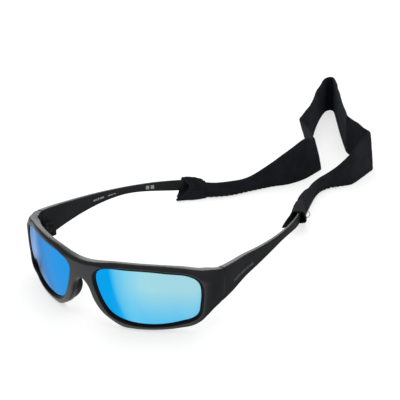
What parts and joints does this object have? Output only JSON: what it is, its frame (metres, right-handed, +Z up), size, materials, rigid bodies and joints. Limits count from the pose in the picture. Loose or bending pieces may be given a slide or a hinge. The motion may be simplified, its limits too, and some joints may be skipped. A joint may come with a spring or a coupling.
{
  "type": "wraparound sport sunglasses",
  "caption": "Wraparound sport sunglasses with mirrored lenses, folding temples on metal hinges and a knit retainer strap.",
  "frame": {"origin": "middle of the footprint, on the table the pair rests on", "axes": "+X towards the wearer's left, +Y from the bridge towards the ears and the strap, +Z up from the table"},
  "size_m": [0.1382, 0.3536, 0.0403],
  "materials": {
    "frame_black": "satin black injection moulded nylon",
    "lens_mirror": "blue mirror coated polycarbonate",
    "pad_rubber": "soft matt black rubber",
    "hinge_steel": "black plated steel",
    "strap_knit": "fine black stretch knit",
    "strap_thread": "black sewing thread"
  },
  "bodies": {
    "front": {"front_frame": "frame_black", "lens_left": "lens_mirror", "lens_right": "lens_mirror", "nose_pad_left": "pad_rubber", "nose_pad_right": "pad_rubber", "hinge_front_leaf_left": "hinge_steel", "hinge_front_leaf_right": "hinge_steel", "hinge_screw_left": "hinge_steel", "hinge_screw_right": "hinge_steel", "front_leaf_screw_1_left": "hinge_steel", "front_leaf_screw_1_right": "hinge_steel", "front_leaf_screw_2_left": "hinge_steel", "front_leaf_screw_2_right": "hinge_steel", "strap_band": "strap_knit", "seam_thread_left": "strap_thread", "seam_thread_right": "strap_thread"},
    "temple_left": {"temple_left": "frame_black", "hinge_temple_leaf_left": "hinge_steel", "temple_leaf_screw_1_left": "hinge_steel", "temple_leaf_screw_2_left": "hinge_steel", "strap_sleeve_left": "strap_knit"},
    "temple_right": {"temple_right": "frame_black", "hinge_temple_leaf_right": "hinge_steel", "temple_leaf_screw_1_right": "hinge_steel", "temple_leaf_screw_2_right": "hinge_steel", "strap_sleeve_right": "strap_knit"}
  },
  "joints": [
    {"name": "temple_left_fold", "type": "hinge", "parent": "front", "child": "temple_left", "pos_m": [0.0621, -0.13888, 0.02215], "axis": [0, 0.103, 0.9947], "range_deg": [0, 85], "deforming": ["strap_sleeve_left"]},
    {"name": "temple_right_fold", "type": "hinge", "parent": "front", "child": "temple_right", "pos_m": [-0.0621, -0.13888, 0.02215], "axis": [0, -0.103, -0.9947], "range_deg": [0, 75], "deforming": ["strap_sleeve_right"]}
  ]
}
